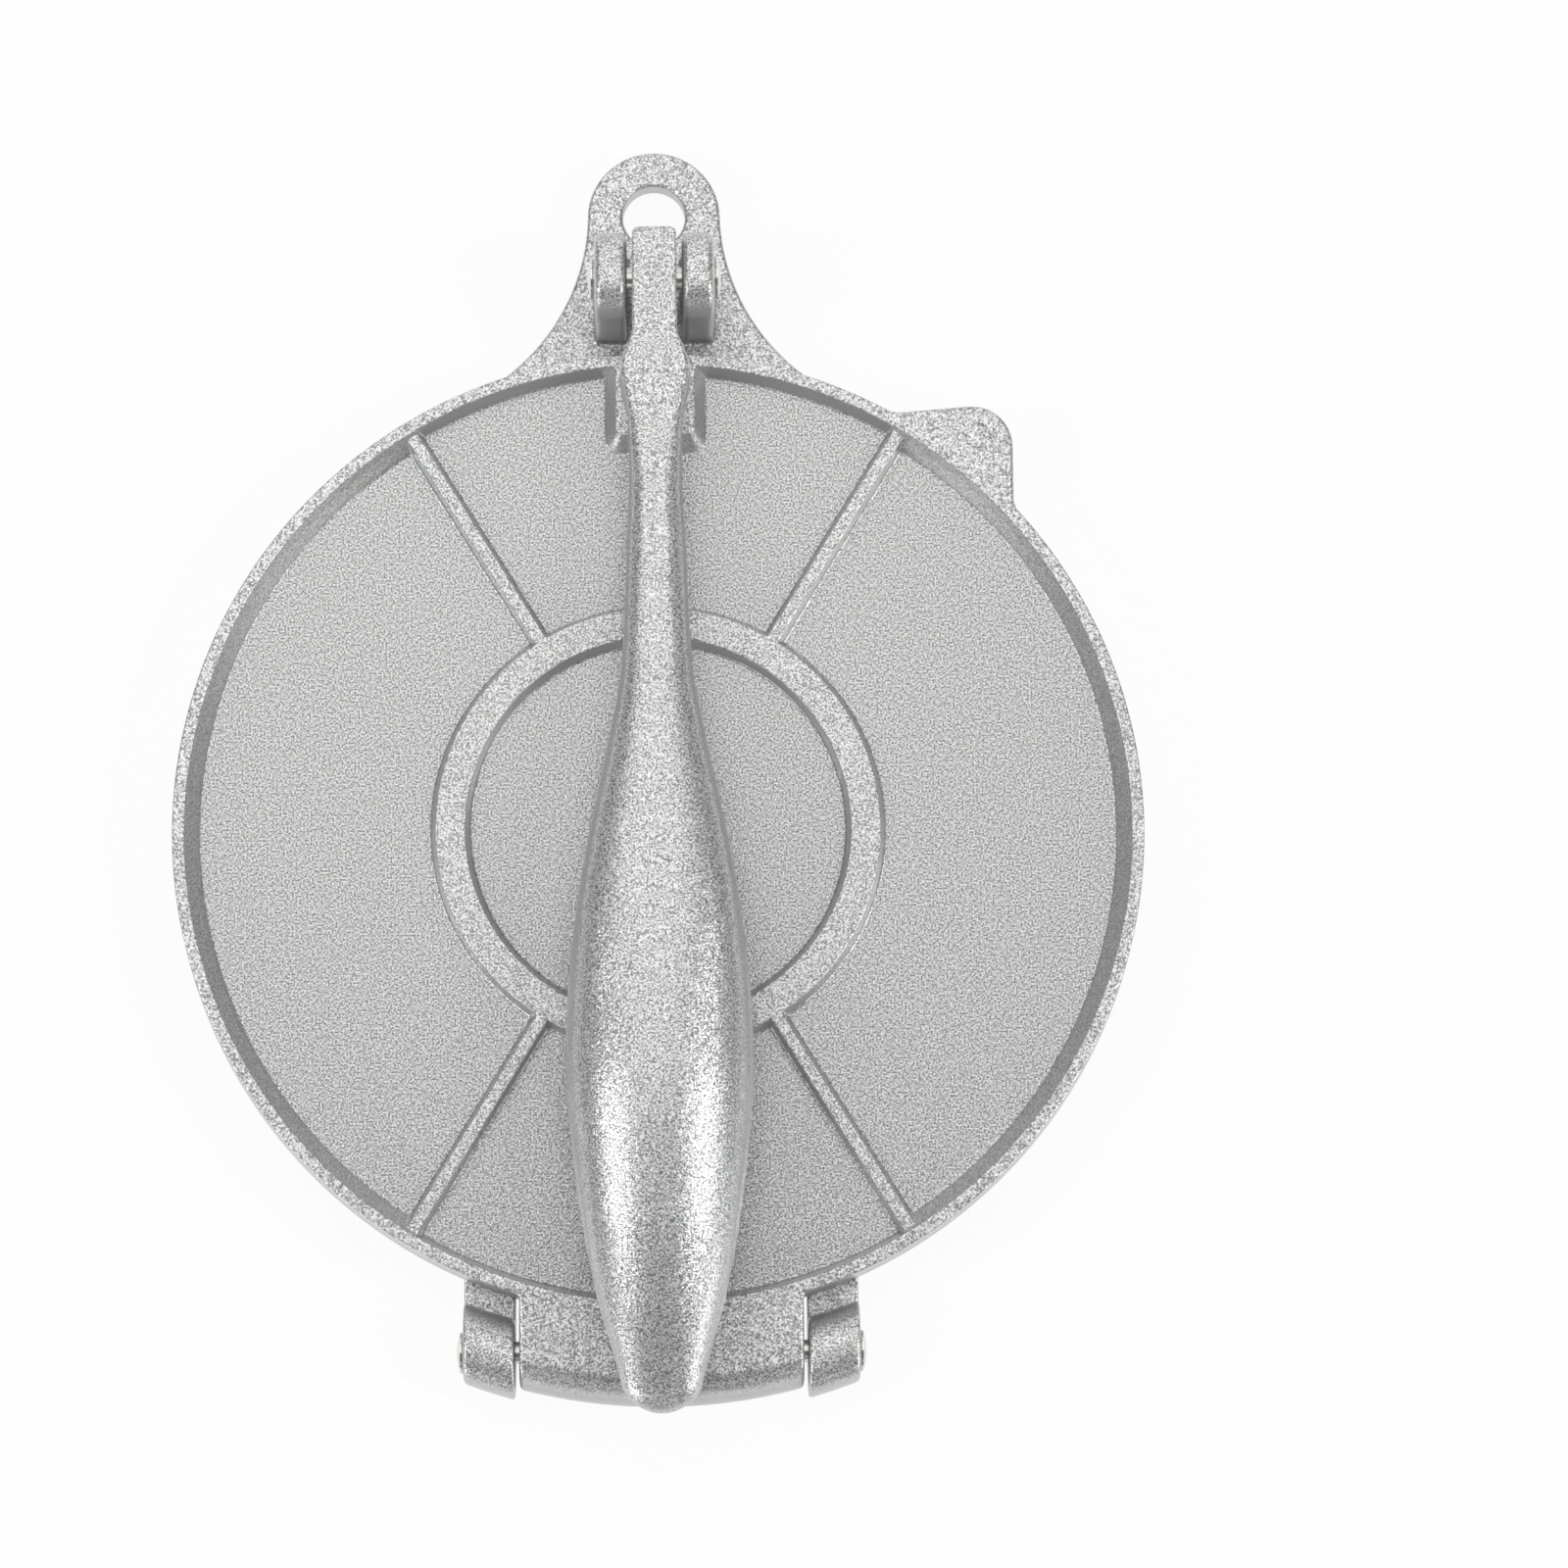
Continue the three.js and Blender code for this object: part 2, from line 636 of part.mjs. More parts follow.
// A screw with a low domed head, its shank along -Z and its head's underside at z = 0.
function domedScrew() {
  const rise = screwHeadHeight - screwHeadRim;
  const domeRadius = (screwHeadRadius ** 2 + rise ** 2) / (2 * rise);
  const domeCentre = screwHeadHeight - domeRadius;
  const rimAngle = Math.asin((screwHeadRim - domeCentre) / domeRadius);
  const body = turned([
    new THREE.Vector2(0, -screwShankLength),
    new THREE.Vector2(screwShankRadius, -screwShankLength),
    new THREE.Vector2(screwShankRadius, 0),
    new THREE.Vector2(screwHeadRadius, 0),
    ...arc(0, domeCentre, domeRadius, rimAngle, Math.PI / 2, domeFacets),
  ], sideFacets);
  const socket = new THREE.CylinderGeometry(
    screwSocketWidth / Math.sqrt(3),
    screwSocketWidth / Math.sqrt(3),
    2 * screwSocketDepth,
    screwSocketSides,
  );
  return body.subtract(solid(socket.rotateX(Math.PI / 2).translate(0, 0, screwHeadHeight)));
}

const castPaint = new THREE.MeshStandardMaterial({ color: 0xb6b8b7, roughness: 0.5, metalness: 0.4 });
const steel = new THREE.MeshStandardMaterial({ color: 0xc9c9c6, roughness: 0.25, metalness: 1 });

function piece(name, geometry, material, x = 0, y = 0, z = 0, turn = 0) {
  const mesh = new THREE.Mesh(geometry, material);
  mesh.name = name;
  mesh.position.set(x, y, z);
  mesh.rotation.y = turn;
  return mesh;
}

const press = new THREE.Group();
press.add(piece('base_plate', geometryOf(basePlate()), castPaint));
press.add(piece('top_plate', geometryOf(upperPlate()), castPaint));
press.add(piece('lever', geometryOf(leverCasting()), castPaint, 0, pivotOffset, pivotHeight));

const screw = geometryOf(domedScrew());
for (const [name, outer, y, z] of [
  ['hinge', armOuter, -hingeOffset, hingeHeight],
  ['lever', earOuter, pivotOffset, pivotHeight],
]) {
  const end = outer + rodProud;
  press.add(piece(`${name}_rod`, geometryOf(pivotRod(end)), steel, 0, y, z));
  press.add(piece(`${name}_screw_left`, screw, steel, -end, y, z, -Math.PI / 2));
  press.add(piece(`${name}_screw_right`, screw, steel, end, y, z, Math.PI / 2));
}

// The origin is on the table, under the middle of the whole press.
const bounds = new THREE.Box3().setFromObject(press, true);
press.position.y = -(bounds.min.y + bounds.max.y) / 2;

export default press;
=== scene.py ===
import math

import bmesh
import bpy
import numpy as np
from mathutils import Matrix, Vector
from mathutils.geometry import tessellate_polygon


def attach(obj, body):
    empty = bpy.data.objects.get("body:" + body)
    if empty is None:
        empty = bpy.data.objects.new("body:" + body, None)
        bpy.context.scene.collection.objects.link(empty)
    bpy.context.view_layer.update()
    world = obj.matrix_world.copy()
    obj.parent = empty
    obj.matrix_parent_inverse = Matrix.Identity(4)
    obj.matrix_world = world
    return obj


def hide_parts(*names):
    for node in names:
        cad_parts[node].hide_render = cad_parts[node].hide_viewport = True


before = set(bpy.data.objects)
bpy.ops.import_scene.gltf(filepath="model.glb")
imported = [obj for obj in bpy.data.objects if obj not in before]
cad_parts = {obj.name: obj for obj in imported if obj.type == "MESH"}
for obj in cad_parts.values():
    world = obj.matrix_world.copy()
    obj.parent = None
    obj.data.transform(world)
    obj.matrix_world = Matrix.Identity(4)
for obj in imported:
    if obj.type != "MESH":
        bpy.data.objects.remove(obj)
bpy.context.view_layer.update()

MM = 0.001
SHIFT_Y = -0.013809          # y of the plates' centre in the finished frame, in metres

# Sizes in millimetres. While a piece is made, x = y = 0 is the plates' centre and z = 0 the
# table. Most are the solids' own sizes. The rims' leans and outer edge, the marks and some of
# the small curves are fitted to the photograph instead.

# Both plates
PLATE = 107.0                # radius where the plates face each other
DRAFT = 0.6                  # the outer walls lean in by this much
EDGE = 0.8                   # rounding of the castings' edges
FACE_EDGE = 0.4              # rounding of the pressing faces' edge
RIM_EDGE = 0.4               # rounding of the rims' outer edge
RIM_WIDTH = 2.8
RING_OUT = 48.9
RING_IN = 42.2
RIB = 2.8
RIB_ANGLE = math.radians(31.5)
SIDE_LEAN = 2.7              # rim's inner wall in the two large pockets
END_LEAN = 0.95              # rim's inner wall in the two small pockets
RING_LEAN = 0.8
RIB_LEAN = 0.6
FLOOR_FILLET = 0.6
TOP_ROUND = 0.35
BASE_TOP = 13.0
BASE_WEB = 4.2
UPPER_FACE = 14.0
UPPER_TOP = 23.0
UPPER_WEB = 4.4
RING_STEP = 1.3              # the upper ring and ribs end this far below the rim
LUG_THICK = 6

# Hinge
HINGE_Y = -114.0
HINGE_Z = 14.0
BLOCK_HALF = 30.7
BOSS = 6.7
ARM_IN = 31.75
ARM_OUT = 42.85

# Lever's pivot and the tab
PIVOT_Y = 121.0
PIVOT_Z = 31.0
EAR_IN = 6.1
EAR_OUT = 13.2
EAR_RADIUS = 9.7
EAR_EDGE = 1.6
TAB_Y = 140.5
TAB_THICK = 6
EYE = 7.0

# Rods and screws
ROD = 2.5
HOLE = 2.8
ROD_PROUD = 0.3
SCREW_BORE = 1.6
BORE_DEPTH = 9.5

SHARP = math.radians(38)     # steeper edges than this stay sharp
LIFT = 0.01                  # keeps joined pieces' faces out of one plane
ROOT = 2                     # how far the lug and the hinge block run into the plate
PAST = 2                     # how far a cutting piece runs past what it cuts
MERGE = 1e-6                 # metres: corners closer than this are one corner


# Camera: above the plates, tilted a little towards the hinge, as in the photograph
def add_camera():
    target = Vector((0, SHIFT_Y, 0.023))
    tilt = math.radians(8.6)
    distance = 1.0
    place = target + distance * Vector((0, -math.sin(tilt), math.cos(tilt)))
    data = bpy.data.cameras.new("camera")
    data.lens = 104.98
    data.sensor_width = 36
    data.shift_x = 0.0803
    data.shift_y = 0.0268
    data.clip_start = 0.05
    data.clip_end = 20
    camera = bpy.data.objects.new("camera", data)
    roll = math.radians(-0.4)
    turn = Matrix.Rotation(tilt, 4, "X") @ Matrix.Rotation(roll, 4, "Z")
    camera.matrix_world = Matrix.Translation(place) @ turn
    bpy.context.scene.collection.objects.link(camera)
    bpy.context.scene.camera = camera


add_camera()


# Materials
FLAKE_SCALE = 3800
GRAIN_SCALE = 2500
GRAIN_SPAN = (0.3, 0.7)      # where nearly all of the grain's values lie
WALL_SHADES = (0.54, 0.58)
# painted glints: the wider spread of the grain's shades on faces that look up
FLAT_GRAIN_AND_GLINTS = (0.25, 0.87)
WALL_TO_FLAT = (0.4, 0.85)   # how much a face looks up or down
TILTS = (0.08, 0.2)          # of the flakes, on walls and on flat faces
POCKET_SHADE = 0.9
POCKET_HEIGHT = (UPPER_FACE + UPPER_WEB + 0.4) * MM
POCKET_BLEND = 0.001


def new_material(name, kind="ShaderNodeBsdfPrincipled"):
    """A material with one shader node of this kind on its surface."""
    material = bpy.data.materials.new(name)
    material.use_nodes = True
    nodes = material.node_tree.nodes
    nodes.clear()
    links = material.node_tree.links
    out = nodes.new("ShaderNodeOutputMaterial")
    shader = nodes.new(kind)
    links.new(shader.outputs[0], out.inputs[0])
    return material, nodes, links, shader


def give(links, socket, value):
    """The value is a number, a vector or another node's output."""
    if isinstance(value, bpy.types.NodeSocket):
        links.new(value, socket)
    else:
        socket.default_value = value


def computed(nodes, links, kind, operation, *values):
    """The output of a math node of this kind."""
    node = nodes.new(kind)
    node.operation = operation
    for socket, value in zip(node.inputs, values):
        give(links, socket, value)
    return node.outputs[0]


def ranged(nodes, links, value, span, ends):
    """The value mapped from its span to the two ends."""
    node = nodes.new("ShaderNodeMapRange")
    names = ("Value", "From Min", "From Max", "To Min", "To Max")
    for name, given in zip(names, (value, *span, *ends)):
        give(links, node.inputs[name], given)
    return node.outputs["Result"]


def textured(nodes, links, kind, scale, place):
    """A texture node of this kind, in the piece's own coordinates."""
    node = nodes.new(kind)
    node.inputs["Scale"].default_value = scale
    links.new(place.outputs["Object"], node.inputs["Vector"])
    return node


# Silver-grey coat with metal flakes. A fine grain gives its brightness, and each flake has its own
# tilt. On faces that look up the grain's spread is much wider than on walls: partly the coat's
# speckle, partly painted glints of flakes catching the lamps. Below the height of floor it is a
# little darker, as in the upper plate's pockets.
def cast_coat(name, floor=None):
    number, vector = "ShaderNodeMath", "ShaderNodeVectorMath"
    material, nodes, links, shader = new_material(name)
    shader.inputs["Metallic"].default_value = 0.65
    shader.inputs["Roughness"].default_value = 0.32
    place = nodes.new("ShaderNodeTexCoord")
    flakes = textured(nodes, links, "ShaderNodeTexVoronoi", FLAKE_SCALE, place)
    grain = textured(nodes, links, "ShaderNodeTexNoise", GRAIN_SCALE, place)
    grain.inputs["Detail"].default_value = 0
    facing = nodes.new("ShaderNodeSeparateXYZ")
    links.new(place.outputs["Normal"], facing.inputs[0])
    flat = computed(nodes, links, number, "ABSOLUTE", facing.outputs["Z"])
    # The grain's shades on walls and on flat faces; the flat faces' wider spread is partly painted
    # glints
    grain_and_glints = [
        ranged(nodes, links, grain.outputs["Fac"], GRAIN_SPAN, ends)
        for ends in (WALL_SHADES, FLAT_GRAIN_AND_GLINTS)
    ]
    colour = ranged(nodes, links, flat, WALL_TO_FLAT, grain_and_glints)
    if floor:
        spot = nodes.new("ShaderNodeSeparateXYZ")
        links.new(place.outputs["Object"], spot.inputs[0])
        span = (floor, floor + POCKET_BLEND)
        depth = ranged(nodes, links, spot.outputs["Z"], span, (POCKET_SHADE, 1))
        colour = computed(nodes, links, number, "MULTIPLY", colour, depth)
    links.new(colour, shader.inputs["Base Color"])
    middle = computed(nodes, links, vector, "SUBTRACT", flakes.outputs["Color"], (0.5, 0.5, 0.5))
    tilt = nodes.new(vector)
    tilt.operation = "SCALE"
    links.new(ranged(nodes, links, flat, WALL_TO_FLAT, TILTS), tilt.inputs["Scale"])
    links.new(middle, tilt.inputs[0])
    bump = nodes.new("ShaderNodeBump")
    bump.inputs["Strength"].default_value = 0.2
    bump.inputs["Distance"].default_value = 0.0001
    links.new(grain.outputs["Fac"], bump.inputs["Height"])
    lean = computed(nodes, links, vector, "ADD", bump.outputs["Normal"], tilt.outputs[0])
    links.new(computed(nodes, links, vector, "NORMALIZE", lean), shader.inputs["Normal"])
    return material


def pin_steel():
    material, _, _, shader = new_material("pin_steel")
    shader.inputs["Metallic"].default_value = 1
    shader.inputs["Roughness"].default_value = 0.2
    shader.inputs["Base Color"].default_value = (0.72, 0.72, 0.71, 1)
    return material


COAT = cast_coat("cast_coat")
PLATE_COAT = cast_coat("plate_coat", POCKET_HEIGHT)
STEEL = pin_steel()


# Meshes
class Skin:
    """Gathers rings of points and the faces between them."""

    most_corners = 200       # a larger ring is filled with triangles

    def __init__(self):
        self.places = []
        self.faces = []

    def ring(self, points):
        start = len(self.places)
        self.places.extend(tuple(float(c) for c in point) for point in points)
        return list(range(start, len(self.places)))

    def join(self, low, high, closed=True):
        count = len(low)
        for i in range(count if closed else count - 1):
            j = (i + 1) % count
            self.faces.append((low[i], low[j], high[j], high[i]))

    def stack(self, rings):
        for low, high in zip(rings, rings[1:]):
            self.join(low, high)

    def fill(self, *loops):
        flat = [index for loop in loops for index in loop]
        if len(loops) == 1 and len(flat) < self.most_corners:
            self.faces.append(tuple(flat))
            return
        polygons = [[Vector(self.places[index]) for index in loop] for loop in loops]
        for a, b, c in tessellate_polygon(polygons):
            self.faces.append((flat[a], flat[b], flat[c]))

    def close(self, rings):
        """Joins the rings in turn and fills the first and the last."""
        self.stack(rings)
        self.fill(rings[0])
        self.fill(rings[-1])

    def mesh(self, name):
        mesh = bpy.data.meshes.new(name)
        places = [(x * MM, y * MM + SHIFT_Y, z * MM) for x, y, z in self.places]
        mesh.from_pydata(places, [], self.faces)
        work = bmesh.new()
        work.from_mesh(mesh)
        bmesh.ops.remove_doubles(work, verts=work.verts, dist=MERGE)
        bmesh.ops.recalc_face_normals(work, faces=work.faces)
        work.to_mesh(mesh)
        work.free()
        return mesh


def quarter(count):
    """1 - cos and 1 - sin at this many places over a quarter turn, for a rounded edge."""
    return [(1 - math.cos(t), 1 - math.sin(t)) for t in np.linspace(0, math.pi / 2, count)]


def arc(x, y, radius, start, end, steps, inward=False):
    """Rows of x, y and the outward or inward direction at each point of an arc."""
    angles = np.linspace(start, end, steps + 1)
    away = np.column_stack((np.cos(angles), np.sin(angles)))
    sign = -1 if inward else 1
    return np.column_stack((np.array([x, y]) + radius * away, sign * away))


def circle(x, y, radius, count, inward=False):
    return arc(x, y, radius, 0, 2 * math.pi, count, inward)[:-1]


def full_arc(x, y, radius, start, end, steps, square):
    """An arc with fuller shoulders, for a boss that is a little flatter on top."""
    angles = np.linspace(start, end, steps + 1)
    away = np.column_stack((np.cos(angles), np.sin(angles)))
    places = np.sign(away) * np.abs(away) ** (1 - square)
    away = np.sign(away) * np.abs(away) ** (1 + square)
    away /= np.linalg.norm(away, axis=1)[:, None]
    return np.column_stack((np.array([x, y]) + radius * places, away))


def turned(rows, angle):
    """The rows turned about the plates' centre."""
    c, s = math.cos(angle), math.sin(angle)
    spin = np.array([[c, s], [-s, c]])
    return np.column_stack((rows[:, :2] @ spin, rows[:, 2:4] @ spin, rows[:, 4:]))


def level(rows, out, z):
    """A ring at height z, moved by out along each point's direction."""
    places = rows[:, :2] + rows[:, 2:4] * np.broadcast_to(out, len(rows))[:, None]
    return np.column_stack((places, np.broadcast_to(z, len(rows))))


def upright(x, points):
    """A ring across the x axis, from the points' y and z."""
    return np.column_stack((np.full(len(points), x), points[:, :2]))


def rounded_prism(outline, low, high, radius, holes=(), steps=4, axes=(0, 1, 2)):
    """A plate with rounded edges between two heights. The rows' directions point away from
    the material. The axes say which of the rows' x and y and the height come first."""
    skin = Skin()
    tops, bottoms = [], []
    for rows in (outline, *holes):
        rings = []
        for c, s in quarter(steps + 1):
            rings.append(skin.ring(level(rows, -radius * s, high - radius * c)[:, axes]))
        for c, s in quarter(steps + 1):
            rings.append(skin.ring(level(rows, -radius * c, low + radius * s)[:, axes]))
        skin.stack(rings)
        tops.append(rings[0])
        bottoms.append(rings[-1])
    skin.fill(*tops)
    skin.fill(*bottoms)
    return skin


def sideways_prism(rows, x_low, x_high, radius):
    """A cheek between two places in x, from an outline of y, z and outward directions."""
    return rounded_prism(rows, x_low, x_high, radius, steps=5, axes=(2, 0, 1))


def rounded_stations(x_low, x_high, count):
    """Places along x, each with its inset, for a body with a rounded edge at both ends."""
    stations = [(x_low + EDGE * c, EDGE * s) for c, s in quarter(5)]
    stations += [(x, 0) for x in np.linspace(x_low + EDGE, x_high - EDGE, count)[1:-1]]
    stations += [(x_high - EDGE * s, EDGE * c) for c, s in quarter(5)]
    return stations


def bar_skin(radius, x_low, x_high, y, z, count=48):
    skin = Skin()
    rows = circle(y, z, radius, count)
    skin.close([skin.ring(upright(x, rows)) for x in (x_low, x_high)])
    return skin


# Plates
def pocket_rows(rim, ring, side, corner, span, middle, pad=None):
    """A pocket's outline in plan, counter-clockwise, from the middle of its outer side.
    The directions point into the pocket. The last column is 0 along the rim and the pad and
    1 along the ribs and the ring. The number is the row where the rib's corner starts."""
    along = np.array([math.cos(span), math.sin(span)])
    across = np.array([math.sin(span), -math.cos(span)])
    beside = side + corner
    outer = math.sqrt((rim - corner) ** 2 - beside ** 2) * along + beside * across
    inner = math.sqrt((ring + corner) ** 2 - beside ** 2) * along + beside * across
    outer_angle = math.atan2(outer[1], outer[0])
    inner_angle = math.atan2(inner[1], inner[0])
    inner_turn = inner_angle + math.pi
    straight = span + math.pi / 2
    rim_steps, ring_steps = (30, 18) if pad else (60, 36)
    rows = []

    def add(part, weights):
        rows.append(np.column_stack((part, np.broadcast_to(weights, len(part)))))

    start = 0.0
    if pad:
        half, end, pad_corner, pad_foot = pad
        bulge = 0.03         # keeps the end's three points out of one line
        add(np.array([[end - bulge, 0, -1, 0]]), 0)
        add(arc(end + pad_corner, half - pad_corner, pad_corner, math.pi, math.pi / 2, 8), 0)
        x = math.sqrt((rim - pad_foot) ** 2 - (half + pad_foot) ** 2)
        start = math.atan2(half + pad_foot, x)
        add(arc(x, half + pad_foot, pad_foot, -math.pi / 2, start, 6, inward=True)[:-1], 0)
    add(arc(0, 0, rim, start, outer_angle, rim_steps, inward=True)[:-1], 0)
    first = sum(len(part) for part in rows)
    add(arc(*outer, corner, outer_angle, straight, 6, inward=True), [0, 1, 1, 1, 1, 1, 1])
    add(arc(*inner, corner, straight, inner_turn, 6, inward=True)[:-1], 1)
    add(arc(0, 0, ring, inner_angle, 0, ring_steps), 1)
    upper = np.vstack(rows)
    lower = upper[-2:0:-1] * np.array([1, -1, 1, -1, 1])
    return turned(np.vstack((upper, lower)), middle), first


CORNER_ROWS = 13             # along a rib, with the corners at its two ends


def wall_rings(skin, edge, floor, z, height, web):
    """Rings down a pocket's wall: a rounded edge, the wall and a rounded foot."""
    rings = []
    for c, s in quarter(4):
        rings.append(skin.ring(level(edge, -TOP_ROUND * s * edge[:, 4], z(height - TOP_ROUND * c))))
    for c, s in quarter(6):
        rings.append(skin.ring(level(floor, FLOOR_FILLET * c, z(web + FLOOR_FILLET * s))))
    skin.stack(rings)
    skin.fill(rings[-1])
    return rings[0]


def plate(height, web, face_z, up, step=0.0, pad=None):
    """A round plate with its pressing face at face_z and its pockets opening up or down.
    Its ring and ribs end step below its rim. The pad is given by its half width, where it
    ends, its corner, and how far its end and its sides lean out down to the floor."""
    skin = Skin()

    def z(h):
        return face_z + up * h

    profile = [(PLATE - FACE_EDGE, 0)]
    profile += [(PLATE - FACE_EDGE * s, FACE_EDGE * c) for c, s in quarter(4)[1:]]
    profile += [(PLATE - DRAFT - RIM_EDGE * c, height - RIM_EDGE * s) for c, s in quarter(6)]
    rim_points, ring_points = 240, 144
    outside = [skin.ring(level(circle(0, 0, r, rim_points), 0, z(h))) for r, h in profile]
    skin.stack(outside)
    skin.fill(outside[0])

    rim = PLATE - DRAFT - RIM_WIDTH
    share = step / (height - web)
    edge_corner, floor_corner, pad_foot = 0.5, 0.8, 0.6
    side_span = math.pi / 2 - RIB_ANGLE
    sectors = [
        (0, side_span, SIDE_LEAN, None),
        (math.pi / 2, RIB_ANGLE, END_LEAN, pad),
        (math.pi, side_span, SIDE_LEAN, None),
        (-math.pi / 2, RIB_ANGLE, END_LEAN, None),
    ]
    loops, tops = [], []
    for middle, span, lean, its_pad in sectors:
        def rows(down, side, ring, corner):
            shape = None
            if its_pad:
                half, end, pad_corner, end_lean, side_lean = its_pad
                half += side_lean * down
                pad_corner += side_lean / 2 * down
                shape = (half, end - end_lean * down, pad_corner, pad_foot)
            return pocket_rows(rim - lean * down, ring, side, corner, span, middle, shape)

        edge, first = rows(share, RIB / 2, RING_OUT, edge_corner)
        floor, _ = rows(1, RIB / 2 + RIB_LEAN, RING_OUT + RING_LEAN, floor_corner)
        if step:
            top, _ = rows(0, RIB / 2, RING_OUT, edge_corner)
            tops += [top[-first:], top[:first + 1]]
        else:
            edge[:, 4] = 1
        loops.append((wall_rings(skin, edge, floor, z, height - step, web), first))
    edge = circle(0, 0, RING_IN, ring_points, inward=True)
    edge = np.column_stack((edge, np.ones(ring_points)))
    floor = circle(0, 0, RING_IN - RING_LEAN, ring_points, inward=True)
    round_edge = wall_rings(skin, edge, floor, z, height - step, web)

    inside = [index for loop, first in loops for index in loop[-first:] + loop[:first + 1]]
    if step:
        rows = np.vstack(tops)
        rings = [
            skin.ring(level(rows, -TOP_ROUND * s, z(height - TOP_ROUND * c)))
            for c, s in quarter(4)
        ]
        rings.append(inside)
        skin.stack(rings)
        inside = rings[0]
    skin.fill(outside[-1], inside)
    ring_edge = []
    for loop, first in loops:
        last = first + CORNER_ROWS
        ring_edge += loop[last:len(loop) - last + 1][::-1]
    skin.fill(ring_edge, round_edge)
    for i, (loop, first) in enumerate(loops):
        ahead, start = loops[(i + 1) % 4]
        near = [loop[first + k] for k in range(CORNER_ROWS + 1)]
        far = [ahead[-(start + k)] for k in range(CORNER_ROWS + 1)]
        skin.join(near, far, closed=False)
    return skin


def lug_rows():
    """The lift lug's outline in plan. Its far edge is slanted, with fillets at the rim."""
    side, end, corner, fillet = 79.2, 93.8, 9.0, 2.0
    inside = PLATE - DRAFT - ROOT
    out = PLATE - 0.2
    slant = math.radians(4.7)
    low = math.sqrt((out + fillet) ** 2 - (side + fillet) ** 2)
    low_angle = math.atan2(low, side + fillet)
    away = np.array([-math.sin(slant), math.cos(slant)])
    along = np.array([-away[1], away[0]])
    reach = away @ [side - corner, end - corner] + corner + fillet
    left = reach * away - math.sqrt((out + fillet) ** 2 - reach ** 2) * along
    left_angle = math.atan2(left[1], left[0])
    back = arc(0, 0, inside, left_angle, low_angle, 12)
    back[:, 2:] = 0
    return np.vstack((
        back,
        arc(side + fillet, low, fillet, low_angle + math.pi, math.pi, 5, inward=True),
        arc(side - corner, end - corner, corner, 0, math.pi / 2 + slant, 12),
        arc(*left, fillet, slant - math.pi / 2, left_angle - math.pi, 5, inward=True),
    ))


def ring_mark(x, y, z, radius, half):
    """A ring that cuts a shallow round groove."""
    skin = Skin()
    rings = []
    for t in np.linspace(0, 2 * math.pi, 9)[:-1]:
        rows = circle(x, y, radius + half * math.cos(t), 40)
        rings.append(skin.ring(level(rows, 0, z + half * math.sin(t))))
    skin.stack(rings + rings[:1])
    return skin


def line_mark(azimuth):
    """A wedge that cuts a fine line across the rim."""
    skin = Skin()
    top, half, deep = UPPER_TOP + 0.1, 0.3, 0.2
    rings = []
    for r in (PLATE - 3.0, PLATE + 0.5):
        rows = np.array([[r, half, 0, 0], [r, -half, 0, 0], [r, 0, 0, 0]])
        rows = turned(rows, math.radians(azimuth))
        rings.append(skin.ring(level(rows, 0, [top, top, top - deep])))
    skin.close(rings)
    return skin


def block_skin():
    """The hinge block: round at its end, with a boss for the pin."""
    skin = Skin()
    reach, roll, tall = 125.9, 6.5, 9.0
    inside = PLATE - DRAFT - ROOT
    top_z = UPPER_TOP + LIFT

    def profile(x):
        centre = -math.sqrt((reach - roll) ** 2 - x * x)
        start = -math.sqrt(inside ** 2 - x * x)
        t = np.linspace(math.pi / 2, 1.2 * math.pi, 16)
        front = np.column_stack((centre + roll * np.cos(t), HINGE_Z + tall * np.sin(t)))
        t = np.linspace(1.28 * math.pi, 2 * math.pi, 14)
        under = np.column_stack((HINGE_Y + BOSS * np.cos(t), HINGE_Z + BOSS * np.sin(t)))
        back = np.array([[start, HINGE_Z + 0.3], [start, top_z]])
        top = np.array([[start + (centre - start) * k / 4, top_z] for k in range(1, 4)])
        return np.vstack((front, under, back, top))

    def inset(points, by):
        ahead = np.roll(points, -1, axis=0) - points
        behind = points - np.roll(points, 1, axis=0)
        ahead /= np.linalg.norm(ahead, axis=1)[:, None]
        behind /= np.linalg.norm(behind, axis=1)[:, None]
        along = ahead + behind
        along /= np.linalg.norm(along, axis=1)[:, None]
        return points + by * np.column_stack((-along[:, 1], along[:, 0]))

    rings = []
    for x, by in rounded_stations(-BLOCK_HALF, BLOCK_HALF, 25):
        rings.append(skin.ring(upright(x, inset(profile(x), by))))
    skin.close(rings)
    return skin


def block_foot(side):
    """The rounded inner corner in plan where the block's side meets the rim."""
    out, fillet, inside, deep = PLATE - DRAFT, 1.6, 1.2, 2.4
    x = BLOCK_HALF + fillet
    y = -math.sqrt((out + fillet) ** 2 - x * x)
    sunk = out - 1.5
    rows = np.vstack((
        arc(x, y, fillet, math.pi, math.atan2(-y, -x), 6, inward=True),
        np.array([
            [x * sunk / (out + fillet), y * sunk / (out + fillet), 0, 0],
            [BLOCK_HALF - inside, y + deep, 0, 0],
            [BLOCK_HALF - inside, y, 0, 0],
        ]),
    ))
    rows[:, [0, 2]] *= side
    return rounded_prism(rows, UPPER_FACE + 1, UPPER_TOP + 1.5 * LIFT, EDGE)


def ear_rows():
    low = BASE_TOP - 3
    return np.vstack((
        full_arc(PIVOT_Y, PIVOT_Z, EAR_RADIUS, 0, math.pi, 48, 0.28),
        np.array([[PIVOT_Y - EAR_RADIUS, low, -1, -1], [PIVOT_Y + EAR_RADIUS, low, 1, -1]]),
    ))


